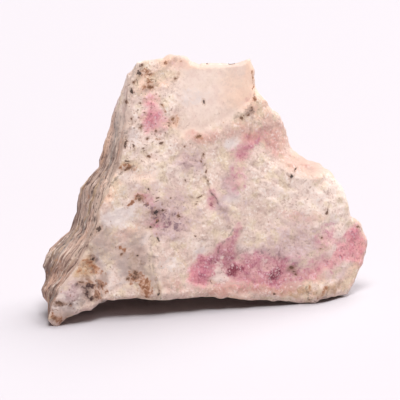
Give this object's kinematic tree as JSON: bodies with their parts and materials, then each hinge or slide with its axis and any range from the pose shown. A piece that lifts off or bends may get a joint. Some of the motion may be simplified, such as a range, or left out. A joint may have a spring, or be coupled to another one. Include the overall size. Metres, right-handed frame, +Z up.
{
  "type": "tugtupite specimen",
  "caption": "Rough broken hand specimen of cream rock with raspberry-pink patches and a streaked grey side, leaning back on a pointed foot and its rear edge.",
  "frame": {"origin": "on the resting surface, under the middle of the specimen's bounding box", "axes": "+X along the specimen's long side, +Y away from its broad face, +Z up"},
  "size_m": [0.065, 0.0372, 0.0505],
  "materials": {
    "rock": "rough broken rock, cream with pink and lavender patches, rust spots and a streaked grey-brown side"
  },
  "bodies": {
    "root": {"stone": "rock"}
  },
  "joints": []
}
